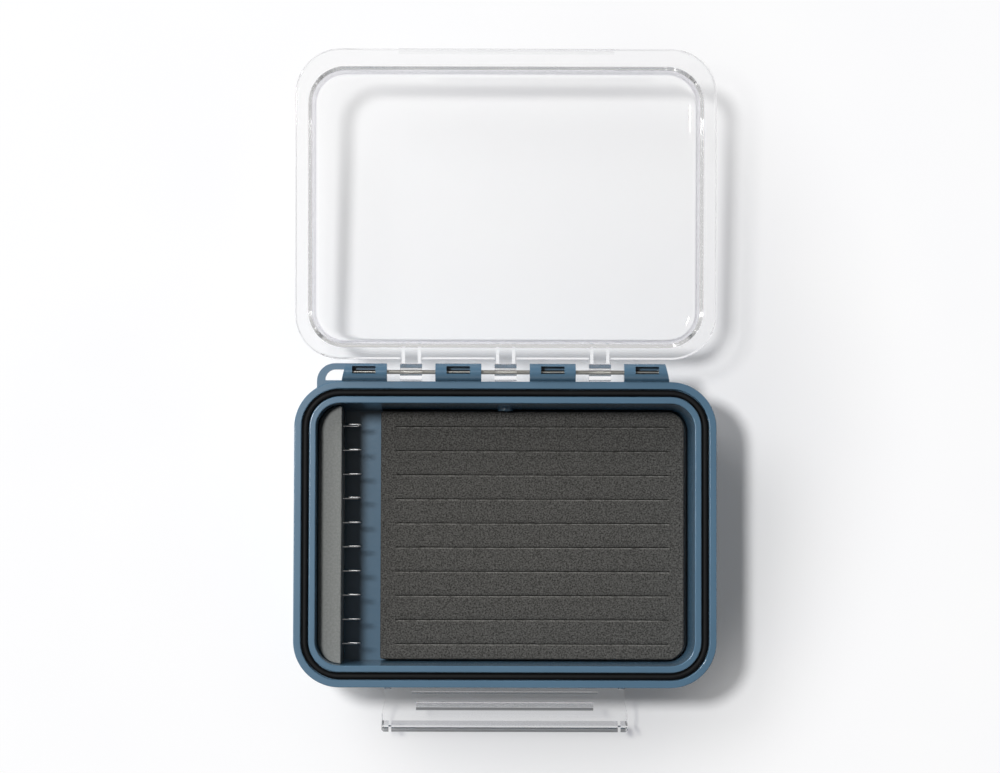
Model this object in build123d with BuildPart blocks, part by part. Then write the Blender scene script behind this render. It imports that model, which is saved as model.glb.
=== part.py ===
"""Fly box: a pocket-size waterproof box for rigged flies, shown opened flat.

A blue tray with a gasket in its rim, a clear lid on a hinge pin, a clear full-width latch, a slit
foam pad and a rail of wire hooks. Millimetres. Origin at the centre of the tray's underside,
X to the right, Y towards the hinge, Z up. The lid and the latch are drawn closed and then turned
open about their own axes, so that every fit between them and the tray is drawn where it works.
"""

from build123d import *
from math import cos, radians, sin, tan
import os

os.makedirs("parts", exist_ok=True)

# ---------------------------------------------------------------- tray rim
rim_width = 150.0  # left to right, over the flange
rim_depth = 108.5  # front to hinge side, over the flange
rim_corner = 16.4
outer_lip = 2.6  # rim lands and the gasket groove, from the outer edge inwards
groove_width = 2.8
inner_lip = 2.3
groove_depth = 2.8
groove_floor = 1.7  # plastic under the groove
flange_thickness = 2.7
flange_overhang = 1.1  # how far the flange stands out past the groove's wall
lip_round = 0.35

# ---------------------------------------------------------------- tray body
tray_height = 36.0
tray_wall = 2.0
tray_floor = 2.2
wall_lean = 2.4  # degrees of draft, narrowing downwards
foot_round = 1.2
nub_diameter = 5.4  # round moulding nub on the rear inner wall
nub_height = 16.0
nub_proud = 1.0

# ---------------------------------------------------------------- hinge
hinge_offset = 3.3  # pin axis behind the rim's rear edge
parting_gap = 0.2  # between the two rims when closed
knuckle_radius = 3.1
knuckle_width = 16.3
knuckle_count = 4  # with a lid lug midway between each two
hinge_end_margin = 17.6  # outer end of the outer knuckles, in from the rim's side, on the axis
outer_knuckle_trim = 1.0  # those two are this much shorter than the others
knuckle_slant = 14.0  # degrees, plan angle of those ends
knuckle_bite = 1.0  # overlap of the webs into the flange
window_length = 8.3
window_width = 2.7
window_shift = 0.6  # window centre behind the pin axis
window_depth = 5.2  # below the knuckle's top, so that the pin lies bare in the window
hinge_pin_diameter = 1.5
hinge_pin_inset = 1.4  # pin's ends inside the outer knuckles' ends
pin_chamfer = 0.2
pin_fit = 0.03  # radial, pin in the tray's holes
turn_fit = 0.08  # radial, pin in the parts that turn on it
pin_end_gap = 0.3

# ---------------------------------------------------------------- lanyard eye
eye_side = 8.0  # eye's outer side from the rim's left edge
eye_side_band = 3.0
eye_rear_band = 2.2
eye_corner = 6.4
eye_hole_corner = 3.6
eye_land = 0.35  # plastic between the eye's hole and the rim's rear edge
eye_bite = 1.3  # overlap of the eye into the flange

# ---------------------------------------------------------------- gasket
gasket_width = 2.2
gasket_height = 2.2
gasket_crown = 1.0

# ---------------------------------------------------------------- lid
lid_travel = 176.0  # degrees from closed to open, where it lies a little up from level
lid_side_step = 0.25  # lid edge inside the tray's rim at the sides
lid_setback = 4.5  # lid edge in front of the pin axis
lid_overhang = 2.95  # lid edge past the rim at the front, as a finger lip
lid_corner = 16.0
lid_flange = 2.3
lid_edge_round = 0.8
bead_width = 1.2
bead_height = 0.5
rear_land = 2.1  # flange behind the bead on the hinge side
lid_wall = 1.6
lid_panel = 1.8
lid_hollow = 11.0
hollow_side_inset = 6.1  # hollow's sides in from the rim's sides
lid_lean = 6.0
hollow_round = 2.8
shell_round = 4.2
catch_length = 76.5  # bevel that leads the latch's lip over the front edge
catch_run = 1.9
catch_rise = 1.2

# ---------------------------------------------------------------- lid lugs
lug_width = 7.8
lug_radius = 3.05
heel_gap = 0.1  # lug's heel to the tray's flange when the lid is fully open
gusset_thickness = 1.2
gusset_place = 2.85  # gusset centre from the lug's centre
gusset_rise = 3.4  # height at the lid's wall, above the flange
gusset_bite = 0.5  # overlap of the gussets into the wall, the flange and the lug

# ---------------------------------------------------------------- latch
latch_axis_setback = 1.65  # latch axis behind the rim's front edge
latch_axis_drop = 14.3  # latch axis below the rim
latch_root_width = 86.0
latch_free_width = 88.4
latch_plate = 2.0
latch_bite = 1.0  # overlap of the lip, ribs and cheeks into the plate
latch_gap = 0.35  # plate to the lid's front edge
latch_lip_width = 81.4
latch_lip_thickness = 2.45
latch_lip_reach = 4.4
latch_block_width = 2.5  # end blocks beside the lip, flush with the plate's sides
latch_lip_clearance = 0.45  # lip over the lid's flange
latch_rib_width = 63.6
latch_rib_thickness = 1.4
latch_rib_clearance = 0.25
latch_step_width = 66.8  # low stiffening step across the plate
latch_step_height = 0.6
latch_step_place = 6.1  # above the latch axis when closed
latch_cheek = 2.5
latch_cheek_radius = 2.6
latch_cheek_rise = 4.5
latch_edge_round = 0.5
latch_corner = 1.0
latch_droop = 22.0  # degrees below the horizontal when hanging open
latch_stop_gap = 0.1  # plate's heel to the tray's wall when hanging open
ear_width = 7.2
ear_radius = 2.0
ear_gap = 0.3  # ear to cheek
ear_bite = 1.2
latch_pin_diameter = 1.5

# ---------------------------------------------------------------- inserts
adhesive_thickness = 0.25
rail_fit = 0.15
rail_thickness = 8.9  # from the left inner wall at rim height
rail_drop = 8.0  # rail top below the rim
rail_round = 0.6
leader_gap = 13.5  # open floor between rail and foam
foam_thickness = 9.75
foam_side_gap = 1.3  # to the right wall, at the floor
foam_end_gap = 0.5  # to the front and rear walls, at the floor
foam_corner = 6.0
foam_left_corner = 0.8
foam_edge_round = 0.5
slit_count = 10
slit_end_margin = 5.5  # first and last slit to the pad's front and rear
slit_left_margin = 5.5
slit_right_margin = 5.3
slit_width = 0.4
slit_depth = 6.0

# ---------------------------------------------------------------- wire hooks
wire_diameter = 0.55
wire_fit = 0.02
wire_embed = 5.0
hook_reach = 6.7  # from the rail's face to the outside of the bend
hook_bend = 1.1  # radius of the wire's centre line
hook_return = 2.6  # straight length of the upper leg
hook_tip_turn = 40.0  # degrees, upturned tip
hook_tip_bend = 0.9
hook_drop = 12.0  # lower leg below the rail's top
hook_leans = [14, 5, 3, 10, 4, 6, 3, 7, 5, 8]  # degrees about the shank, none set quite upright

height_pick = 0.01  # tolerance when edges are picked by their height

# ---------------------------------------------------------------- worked out from the sizes above
rim_band = outer_lip + groove_width + inner_lip
groove_centre = outer_lip + groove_width / 2
channel_height = groove_depth + groove_floor
cavity_width = rim_width - 2 * rim_band
cavity_depth = rim_depth - 2 * rim_band
cavity_corner = rim_corner - rim_band
rim_rear = rim_depth / 2
rim_front = -rim_depth / 2
flange_bottom = tray_height - flange_thickness
hinge_y = rim_rear + hinge_offset
hinge_z = tray_height + parting_gap / 2
knuckle_end = rim_width / 2 - hinge_end_margin
hinge_reach = knuckle_end + outer_knuckle_trim - knuckle_width / 2
hinge_pitch = 2 * hinge_reach / (knuckle_count - 1)
knuckle_places = [i * hinge_pitch - hinge_reach for i in range(knuckle_count)]
lug_places = [x + hinge_pitch / 2 for x in knuckle_places[:-1]]
hinge_pin_length = 2 * (knuckle_end - hinge_pin_inset)
lid_rim = tray_height + parting_gap
lid_flange_top = lid_rim + lid_flange
lid_rear = hinge_y - lid_setback
lid_front = rim_front - lid_overhang
lid_middle = (lid_rear + lid_front) / 2
opening_inset = groove_centre + bead_width / 2
opening_width = rim_width - 2 * hollow_side_inset
opening_rear = rim_rear - opening_inset - rear_land
opening_front = rim_front + opening_inset
opening_middle = (opening_rear + opening_front) / 2
opening_depth = opening_rear - opening_front
opening_corner = rim_corner - opening_inset
latch_y = rim_front + latch_axis_setback
latch_z = tray_height - latch_axis_drop
latch_inner = lid_front - latch_gap
latch_outer = latch_inner - latch_plate
latch_lip_bottom = lid_flange_top + latch_lip_clearance
latch_top = latch_lip_bottom + latch_lip_thickness
latch_travel = 90.0 + latch_droop
ear_outer = latch_root_width / 2 - latch_cheek - ear_gap
latch_pin_length = latch_root_width
foam_bottom = tray_floor + adhesive_thickness
foam_top = foam_bottom + foam_thickness
rail_top = tray_height - rail_drop
rail_face = -cavity_width / 2 + rail_thickness
foam_left = rail_face + leader_gap
hook_z = rail_top - hook_drop


def lean_inset(z):
    """How far the leaning walls have come in at height z."""
    return (tray_height - z) * tan(radians(wall_lean))


floor_inset = lean_inset(tray_floor)
foam_right = cavity_width / 2 - floor_inset - foam_side_gap
foam_depth = cavity_depth - 2 * floor_inset - 2 * foam_end_gap
slit_reach = foam_depth / 2 - slit_end_margin
slit_places = [slit_reach - 2 * slit_reach * i / (slit_count - 1) for i in range(slit_count)]
slit_length = foam_right - foam_left - slit_left_margin - slit_right_margin
slit_middle = (foam_left + slit_left_margin + foam_right - slit_right_margin) / 2


def rim_shape(inset, mode=Mode.ADD):
    """The rim's rounded outline, drawn in by inset."""
    return RectangleRounded(
        rim_width - 2 * inset, rim_depth - 2 * inset, rim_corner - inset, mode=mode
    )


def cavity_shape(inset):
    """The outline of the tray's hollow at rim height, drawn in by inset."""
    return RectangleRounded(
        cavity_width - 2 * inset, cavity_depth - 2 * inset, cavity_corner - inset
    )


def opening_shape(growth):
    """The outline of the lid's hollow at its rim, grown by growth."""
    return RectangleRounded(
        opening_width + 2 * growth, opening_depth + 2 * growth, opening_corner + growth
    )


# ---------------------------------------------------------------- hinge knuckles
knuckle_rear = hinge_y + knuckle_radius
web_front = rim_rear - knuckle_bite
slant = tan(radians(knuckle_slant))
slant_front = knuckle_end + (hinge_y - web_front) * slant
slant_rear = knuckle_end - (knuckle_rear - hinge_y) * slant
outer_knuckle_start = hinge_reach - knuckle_width / 2

with BuildPart() as knuckles:
    with BuildSketch(Plane.YZ):
        with Locations((hinge_y, hinge_z)):
            Circle(knuckle_radius)
        with Locations((web_front, hinge_z - knuckle_radius)):
            Rectangle(
                hinge_y - web_front,
                knuckle_radius - parting_gap / 2 - lip_round,
                align=(Align.MIN, Align.MIN),
            )
    extrude(amount=slant_front, both=True)
    with BuildSketch(Plane.XY.offset(hinge_z)):
        with Locations([(x, (web_front + knuckle_rear) / 2) for x in knuckle_places[1:-1]]):
            Rectangle(knuckle_width, knuckle_rear - web_front)
        for side in (-1, 1):
            with BuildLine():
                Polyline(
                    (side * outer_knuckle_start, web_front),
                    (side * slant_front, web_front),
                    (side * slant_rear, knuckle_rear),
                    (side * outer_knuckle_start, knuckle_rear),
                    close=True,
                )
            make_face()
    extrude(amount=knuckle_radius, both=True, mode=Mode.INTERSECT)
    with BuildSketch(Plane.XY.offset(hinge_z + knuckle_radius)):
        with Locations([(x, hinge_y + window_shift) for x in knuckle_places]):
            Rectangle(window_length, window_width)
    extrude(amount=-window_depth, mode=Mode.SUBTRACT)

# ---------------------------------------------------------------- lanyard eye
eye_left = -rim_width / 2 + eye_side
eye_front = rim_rear - rim_corner
eye_hole_left = eye_left + eye_side_band
eye_hole_front = rim_rear + eye_land
eye_hole_rear = knuckle_rear - eye_rear_band

with BuildPart() as lanyard_eye:
    with BuildSketch(Plane.XY.offset(flange_bottom)):
        with Locations((eye_left, eye_front)):
            Rectangle(
                -slant_rear - eye_left, knuckle_rear - eye_front, align=(Align.MIN, Align.MIN)
            )
        fillet(vertices().group_by(Axis.X)[0].sort_by(Axis.Y)[-1], eye_corner)
        rim_shape(eye_bite, mode=Mode.SUBTRACT)
    extrude(amount=flange_thickness - lip_round)
    with BuildSketch(Plane.XY.offset(flange_bottom)):
        with Locations((eye_hole_left, eye_hole_front)):
            Rectangle(
                -eye_hole_left, eye_hole_rear - eye_hole_front, align=(Align.MIN, Align.MIN)
            )
        fillet(vertices().group_by(Axis.X)[0].sort_by(Axis.Y)[-1], eye_hole_corner)
    extrude(amount=flange_thickness, mode=Mode.SUBTRACT)

# ---------------------------------------------------------------- tray
ear_wall = -(cavity_depth / 2 + tray_wall - lean_inset(latch_z))
nub_wall = cavity_depth / 2 - lean_inset(nub_height)

with BuildPart() as base_tray:
    # Leaning walls, from the rim down to the underside.
    with BuildSketch(Plane.XY.offset(tray_height)):
        cavity_shape(-tray_wall)
    extrude(amount=-tray_height, taper=wall_lean)
    fillet(base_tray.edges().filter_by_position(Axis.Z, -height_pick, height_pick), foot_round)
    # Groove channel, flange and gasket groove.
    with BuildSketch(Plane.XY.offset(tray_height)):
        rim_shape(flange_overhang)
    extrude(amount=-channel_height)
    with BuildSketch(Plane.XY.offset(tray_height)):
        rim_shape(0)
    extrude(amount=-flange_thickness)
    with BuildSketch(Plane.XY.offset(tray_height)):
        rim_shape(outer_lip)
        rim_shape(outer_lip + groove_width, mode=Mode.SUBTRACT)
    extrude(amount=-groove_depth, mode=Mode.SUBTRACT)
    # The hollow.
    with BuildSketch(Plane.XY.offset(tray_height)):
        cavity_shape(0)
    extrude(amount=-(tray_height - tray_floor), taper=wall_lean, mode=Mode.SUBTRACT)
    fillet(base_tray.edges().group_by(Axis.Z)[-1], lip_round)
    # Moulding nub on the rear inner wall.
    with BuildSketch(Plane.XZ.offset(-nub_wall - tray_wall / 2)):
        with Locations((0, nub_height)):
            Circle(nub_diameter / 2)
    extrude(amount=tray_wall / 2 + nub_proud)
    # Ears that carry the latch's pin, under the front rim.
    with BuildSketch(Plane.YZ.offset(-ear_outer), Plane.YZ.offset(ear_outer - ear_width)):
        with Locations((latch_y, latch_z)):
            Circle(ear_radius)
            Rectangle(
                ear_wall + ear_bite - latch_y, 2 * ear_radius, align=(Align.MIN, Align.CENTER)
            )
    extrude(amount=ear_width)
    with BuildSketch(Plane.YZ):
        with Locations((latch_y, latch_z)):
            Circle(latch_pin_diameter / 2 + pin_fit)
    extrude(amount=ear_outer + ear_gap, both=True, mode=Mode.SUBTRACT)
    # Lanyard eye, knuckles and the hinge pin's hole, blind at its left end.
    add(lanyard_eye.part)
    add(knuckles.part)
    with BuildSketch(Plane.YZ.offset(-hinge_pin_length / 2 - pin_end_gap)):
        with Locations((hinge_y, hinge_z)):
            Circle(hinge_pin_diameter / 2 + pin_fit)
    extrude(amount=hinge_pin_length + knuckle_width, mode=Mode.SUBTRACT)

base_tray.part.label = "base_tray"
export_step(base_tray.part, "parts/base_tray.step")

# ---------------------------------------------------------------- gasket
with BuildPart() as rim_gasket:
    with BuildSketch(Plane.XY.offset(tray_height - groove_depth)):
        rim_shape(groove_centre - gasket_width / 2)
        rim_shape(groove_centre + gasket_width / 2, mode=Mode.SUBTRACT)
    extrude(amount=gasket_height)
    fillet(rim_gasket.edges().group_by(Axis.Z)[-1], gasket_crown)

rim_gasket.part.label = "rim_gasket"
export_step(rim_gasket.part, "parts/rim_gasket.step")

# ---------------------------------------------------------------- pins
with BuildPart() as hinge_pin:
    with BuildSketch(Plane.YZ):
        with Locations((hinge_y, hinge_z)):
            Circle(hinge_pin_diameter / 2)
    extrude(amount=hinge_pin_length / 2, both=True)
    chamfer(hinge_pin.edges().filter_by(GeomType.CIRCLE), pin_chamfer)

hinge_pin.part.label = "hinge_pin"
export_step(hinge_pin.part, "parts/hinge_pin.step")

with BuildPart() as latch_pin:
    with BuildSketch(Plane.YZ):
        with Locations((latch_y, latch_z)):
            Circle(latch_pin_diameter / 2)
    extrude(amount=latch_pin_length / 2, both=True)
    chamfer(latch_pin.edges().filter_by(GeomType.CIRCLE), pin_chamfer)

latch_pin.part.label = "latch_pin"
export_step(latch_pin.part, "parts/latch_pin.step")

# ---------------------------------------------------------------- lid flange
lid_width = rim_width - 2 * lid_side_step

with BuildPart() as lid_plate:
    with BuildSketch(Plane.XY.offset(lid_rim)):
        with Locations((0, lid_middle)):
            RectangleRounded(lid_width, lid_rear - lid_front, lid_corner)
    extrude(amount=lid_flange)
    fillet(lid_plate.edges().group_by(Axis.Z)[-1], lid_edge_round)
    fillet(lid_plate.edges().group_by(Axis.Z)[0], lip_round)
    # Bevel that leads the latch's lip over the front edge.
    with BuildSketch(Plane.YZ):
        with BuildLine():
            Polyline(
                (lid_front - catch_run, lid_flange_top - catch_rise),
                (lid_front, lid_flange_top - catch_rise),
                (lid_front + catch_run, lid_flange_top),
                (lid_front + catch_run, lid_flange_top + catch_rise),
                (lid_front - catch_run, lid_flange_top + catch_rise),
                close=True,
            )
        make_face()
    extrude(amount=catch_length / 2, both=True, mode=Mode.SUBTRACT)

# ---------------------------------------------------------------- lid
heel = hinge_offset - heel_gap
heel_turn = lid_travel - 180.0  # so that the heel meets the flange squarely when the lid is open
gusset_top = lid_flange_top + gusset_rise
gusset_wall = opening_rear + lid_wall - gusset_bite - (gusset_top - lid_rim) * tan(radians(lid_lean))
gusset_root = lid_flange_top - gusset_bite
lug_starts = [Plane.YZ.offset(x - lug_width / 2) for x in lug_places]
gusset_starts = [
    Plane.YZ.offset(x + side * gusset_place - gusset_thickness / 2)
    for x in lug_places
    for side in (-1, 1)
]

with BuildPart() as lid:
    # Shell over the hollow.
    with BuildSketch(Plane.XY.offset(lid_rim)):
        with Locations((0, opening_middle)):
            opening_shape(lid_wall)
    extrude(amount=lid_hollow + lid_panel, taper=lid_lean)
    fillet(lid.edges().group_by(Axis.Z)[-1], shell_round)
    add(lid_plate.part)
    # Sealing bead over the gasket.
    with BuildSketch(Plane.XY.offset(lid_rim)):
        rim_shape(groove_centre - bead_width / 2)
        rim_shape(groove_centre + bead_width / 2, mode=Mode.SUBTRACT)
    extrude(amount=-bead_height)
    # The hollow.
    with BuildSketch(Plane.XY.offset(lid_rim)):
        with Locations((0, opening_middle)):
            opening_shape(0)
    extrude(amount=lid_hollow, taper=lid_lean, mode=Mode.SUBTRACT)
    ceiling = lid_rim + lid_hollow
    ceiling_edges = lid.edges().filter_by_position(Axis.Z, ceiling - height_pick, ceiling + height_pick)
    fillet(ceiling_edges, hollow_round)
    # Lugs on the pin, each with a square heel that stops the lid when it is open.
    with BuildSketch(*lug_starts):
        with Locations((hinge_y, hinge_z)):
            Circle(lug_radius)
            Rectangle(heel, heel, rotation=heel_turn, align=(Align.MIN, Align.MIN))
        with Locations((lid_rear - lid_edge_round - lip_round, lid_rim)):
            Rectangle(
                lid_setback + lid_edge_round + lip_round, lid_flange, align=(Align.MIN, Align.MIN)
            )
    extrude(amount=lug_width)
    with BuildSketch(*gusset_starts):
        with BuildLine():
            Polyline(
                (hinge_y, gusset_root),
                (hinge_y, hinge_z + lug_radius - gusset_bite),
                (gusset_wall, gusset_top),
                (gusset_wall, gusset_root),
                close=True,
            )
        make_face()
    extrude(amount=gusset_thickness)
    with BuildSketch(Plane.YZ):
        with Locations((hinge_y, hinge_z)):
            Circle(hinge_pin_diameter / 2 + turn_fit)
    extrude(amount=hinge_pitch + lug_width, both=True, mode=Mode.SUBTRACT)

hinge_axis = Axis((0, hinge_y, hinge_z), (1, 0, 0))
lid_open = lid.part.rotate(hinge_axis, -lid_travel)
lid_open.label = "lid"
export_step(lid_open, "parts/lid.step")

# ---------------------------------------------------------------- latch
droop = radians(latch_droop)
lean = tan(radians(wall_lean))
plate_front = latch_y - latch_outer
heel_reach = ear_wall - latch_y + plate_front * (cos(droop) * lean - sin(droop)) - latch_stop_gap
heel_drop = heel_reach / (cos(droop) + sin(droop) * lean)
flare_start = flange_bottom - latch_rib_clearance - latch_rib_thickness
rib_top = flange_bottom - latch_rib_clearance
rib_tip = rim_front + flange_overhang - latch_rib_clearance
block_centre = latch_free_width / 2 - latch_block_width / 2
cheek_starts = [
    Plane.YZ.offset(-latch_root_width / 2),
    Plane.YZ.offset(latch_root_width / 2 - latch_cheek),
]

with BuildPart() as latch:
    # Plate, a little wider at its free end.
    with BuildSketch(Plane.XZ.offset(-latch_outer)):
        with BuildLine():
            Polyline(
                (-latch_root_width / 2, latch_z - heel_drop),
                (latch_root_width / 2, latch_z - heel_drop),
                (latch_root_width / 2, flare_start),
                (latch_free_width / 2, latch_lip_bottom - latch_lip_thickness),
                (latch_free_width / 2, latch_top),
                (-latch_free_width / 2, latch_top),
                (-latch_free_width / 2, latch_lip_bottom - latch_lip_thickness),
                (-latch_root_width / 2, flare_start),
                close=True,
            )
        make_face()
        fillet(vertices().group_by(Axis.Y)[-1], latch_corner)
    extrude(amount=-latch_plate)
    fillet(latch.faces().sort_by(Axis.Y)[0].edges().group_by(Axis.Z)[-1], latch_edge_round)
    # Lip that hooks over the lid's flange.
    with BuildSketch(Plane.YZ):
        with Locations((latch_inner - latch_bite, latch_lip_bottom)):
            Rectangle(
                latch_bite + latch_lip_reach,
                latch_lip_thickness,
                align=(Align.MIN, Align.MIN),
            )
    extrude(amount=latch_lip_width / 2, both=True)
    # End blocks beside the lip.
    with BuildSketch(Plane.XZ.offset(latch_bite - latch_inner)):
        with Locations([(side * block_centre, latch_top) for side in (-1, 1)]):
            Rectangle(
                latch_block_width, latch_lip_thickness, align=(Align.CENTER, Align.MAX)
            )
        block_tops = vertices().group_by(Axis.Y)[-1].sort_by(Axis.X)
        fillet([block_tops[0], block_tops[-1]], latch_corner)
    extrude(amount=-latch_bite - latch_lip_reach)
    # Rib that comes under the tray's flange.
    with BuildSketch(Plane.YZ):
        with Locations((latch_inner - latch_bite, rib_top)):
            Rectangle(
                rib_tip - latch_inner + latch_bite,
                latch_rib_thickness,
                align=(Align.MIN, Align.MAX),
            )
    extrude(amount=latch_rib_width / 2, both=True)
    # Low stiffening step.
    with BuildSketch(Plane.YZ):
        with Locations((latch_inner - latch_bite, latch_z + latch_step_place)):
            Rectangle(
                latch_bite + latch_step_height,
                latch_step_height,
                align=(Align.MIN, Align.CENTER),
            )
    extrude(amount=latch_step_width / 2, both=True)
    # Cheeks that turn on the pin.
    with BuildSketch(*cheek_starts):
        with BuildLine():
            Polyline(
                (latch_inner - latch_bite, latch_z - latch_cheek_radius),
                (latch_y, latch_z - latch_cheek_radius),
                (latch_y, latch_z + latch_cheek_radius),
                (latch_inner, latch_z + latch_cheek_rise),
                (latch_inner - latch_bite, latch_z + latch_cheek_rise),
                close=True,
            )
        make_face()
        with Locations((latch_y, latch_z)):
            Circle(latch_cheek_radius)
    extrude(amount=latch_cheek)
    with BuildSketch(Plane.YZ):
        with Locations((latch_y, latch_z)):
            Circle(latch_pin_diameter / 2 + turn_fit)
    extrude(amount=latch_root_width / 2, both=True, mode=Mode.SUBTRACT)

latch_axis = Axis((0, latch_y, latch_z), (1, 0, 0))
latch_open = latch.part.rotate(latch_axis, latch_travel)
latch_open.label = "latch"
export_step(latch_open, "parts/latch.step")

# ---------------------------------------------------------------- foam pad and its adhesive sheet
with BuildSketch() as foam_plan:
    with Locations(((foam_left + foam_right) / 2, 0)):
        Rectangle(foam_right - foam_left, foam_depth)
    fillet(foam_plan.vertices().group_by(Axis.X)[0], foam_left_corner)
    fillet(foam_plan.vertices().group_by(Axis.X)[-1], foam_corner)

with BuildPart() as foam_pad:
    with BuildSketch(Plane.XY.offset(foam_bottom)):
        add(foam_plan.sketch)
    extrude(amount=foam_thickness)
    fillet(foam_pad.edges().group_by(Axis.Z)[-1], foam_edge_round)
    with BuildSketch(Plane.XY.offset(foam_top)):
        with Locations([(slit_middle, y) for y in slit_places]):
            Rectangle(slit_length, slit_width)
    extrude(amount=-slit_depth, mode=Mode.SUBTRACT)

foam_pad.part.label = "foam_pad"
export_step(foam_pad.part, "parts/foam_pad.step")

with BuildPart() as foam_adhesive:
    with BuildSketch(Plane.XY.offset(tray_floor)):
        add(foam_plan.sketch)
    extrude(amount=adhesive_thickness)

foam_adhesive.part.label = "foam_adhesive"
export_step(foam_adhesive.part, "parts/foam_adhesive.step")

# ---------------------------------------------------------------- rail and its adhesive sheet
with BuildPart() as wire_rail:
    with BuildSketch(Plane.XY.offset(rail_top)):
        cavity_shape(lean_inset(rail_top) + rail_fit)
    extrude(amount=-(rail_top - foam_bottom), taper=wall_lean)
    with BuildSketch(Plane.XZ):
        with Locations((rail_face, rail_top)):
            Rectangle(rail_thickness, rail_top - foam_bottom, align=(Align.MAX, Align.MAX))
        fillet(vertices().group_by(Axis.X)[-1].sort_by(Axis.Y)[-1], rail_round)
    extrude(amount=cavity_depth / 2, both=True, mode=Mode.INTERSECT)
    with BuildSketch(Plane.YZ.offset(rail_face)):
        with Locations([(y, hook_z) for y in slit_places]):
            Circle(wire_diameter / 2 + wire_fit)
    extrude(amount=-wire_embed - wire_fit, mode=Mode.SUBTRACT)

wire_rail.part.label = "wire_rail"
export_step(wire_rail.part, "parts/wire_rail.step")

with BuildPart() as rail_adhesive:
    with BuildSketch(Plane.XY.offset(foam_bottom)):
        cavity_shape(lean_inset(foam_bottom) + rail_fit)
    extrude(amount=-adhesive_thickness, taper=wall_lean)
    split(bisect_by=Plane.YZ.offset(rail_face), keep=Keep.BOTTOM)

rail_adhesive.part.label = "rail_adhesive"
export_step(rail_adhesive.part, "parts/rail_adhesive.step")

# ---------------------------------------------------------------- wire hooks
bend_start = hook_reach - wire_diameter / 2 - hook_bend

for number, (y, tilt) in enumerate(zip(slit_places, hook_leans), start=1):
    hook_plane = Plane(
        origin=(rail_face, y, hook_z),
        x_dir=(1, 0, 0),
        z_dir=(0, -cos(radians(tilt)), sin(radians(tilt))),
    )
    with BuildPart() as hook_wire:
        with BuildLine(hook_plane) as hook_path:
            shank = Line((-wire_embed, 0), (bend_start, 0))
            bend = JernArc(shank @ 1, shank % 1, hook_bend, 180)
            upper_leg = Line(bend @ 1, (bend_start - hook_return, 2 * hook_bend))
            JernArc(upper_leg @ 1, upper_leg % 1, hook_tip_bend, -hook_tip_turn)
        with BuildSketch(Plane(origin=hook_path.line @ 0, z_dir=hook_path.line % 0)):
            Circle(wire_diameter / 2)
        sweep(path=hook_path.line)
    node = f"hook_wire_{number:02d}"
    hook_wire.part.label = node
    export_step(hook_wire.part, f"parts/{node}.step")
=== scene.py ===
# %% [markdown]
# # A waterproof fly box, opened flat
# The real object is a pocket box for rigged fishing flies: a blue-grey tray with a gasket in its
# rim, a clear lid on a hinge pin, a clear latch as wide as the front, a slit foam pad and a foam
# rail with ten wire hooks. The hard parts come from the CAD model and get their finishes here.
# The two foam parts are built again in Blender, because cut foam shows things that a plain CAD
# solid doesn't: knife slits that wander, and soft lips beside them, made lighter by a painted
# highlight.

# %% Load the CAD model as a fixed frame
import math

import bpy
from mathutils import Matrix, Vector


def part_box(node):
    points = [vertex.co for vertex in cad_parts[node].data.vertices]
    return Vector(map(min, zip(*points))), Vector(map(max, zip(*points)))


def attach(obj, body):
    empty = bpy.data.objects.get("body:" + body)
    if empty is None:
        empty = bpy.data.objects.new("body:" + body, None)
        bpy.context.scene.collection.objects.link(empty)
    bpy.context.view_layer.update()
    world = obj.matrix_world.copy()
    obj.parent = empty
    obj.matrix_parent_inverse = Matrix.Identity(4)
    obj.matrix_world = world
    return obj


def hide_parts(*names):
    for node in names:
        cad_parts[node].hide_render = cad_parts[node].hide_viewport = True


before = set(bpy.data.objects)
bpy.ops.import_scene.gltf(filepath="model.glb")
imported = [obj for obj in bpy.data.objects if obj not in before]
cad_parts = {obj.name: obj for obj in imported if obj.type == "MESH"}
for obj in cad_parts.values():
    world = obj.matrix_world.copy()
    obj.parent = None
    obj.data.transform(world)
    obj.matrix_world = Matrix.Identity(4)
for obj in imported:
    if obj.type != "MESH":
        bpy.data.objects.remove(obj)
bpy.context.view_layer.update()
MM = 0.001  # the scene is in metres, the box is measured in millimetres
print("CAD nodes:", sorted(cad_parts))

# %% [markdown]
# ## Colours and shader nodes
# Colours are picked as the hex values that a screen shows, and a shader wants linear light, so one
# function turns them. A second function adds a node, with its settings, its input values and its
# links in one call, so that a material reads from top to bottom like a recipe.


# %% Colour and node helpers
def linear(hex_colour):
    """A screen colour such as "6A8496" as a linear RGBA tuple."""
    channels = [int(hex_colour[i : i + 2], 16) / 255 for i in (0, 2, 4)]
    return (*[c / 12.92 if c <= 0.04045 else ((c + 0.055) / 1.055) ** 2.4 for c in channels], 1.0)


def add(tree, kind, inputs=None, **settings):
    """Adds a node. An input gets a value, or a link from a socket or from a node's first output."""
    node = tree.nodes.new(kind)
    for name, value in settings.items():
        setattr(node, name, value)
    for name, value in (inputs or {}).items():
        if isinstance(value, bpy.types.Node):
            value = value.outputs[0]
        if isinstance(value, bpy.types.NodeSocket):
            tree.links.new(value, node.inputs[name])
        else:
            node.inputs[name].default_value = value
    return node


def new_material(name):
    """An empty node material and its tree."""
    material = bpy.data.materials.new(name)
    material.use_nodes = True
    material.node_tree.nodes.clear()
    return material, material.node_tree


def per_mm(size_mm):
    """Noise or Voronoi scale whose cells are about size_mm across, on coordinates in metres."""
    return 1 / (size_mm * MM)


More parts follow.
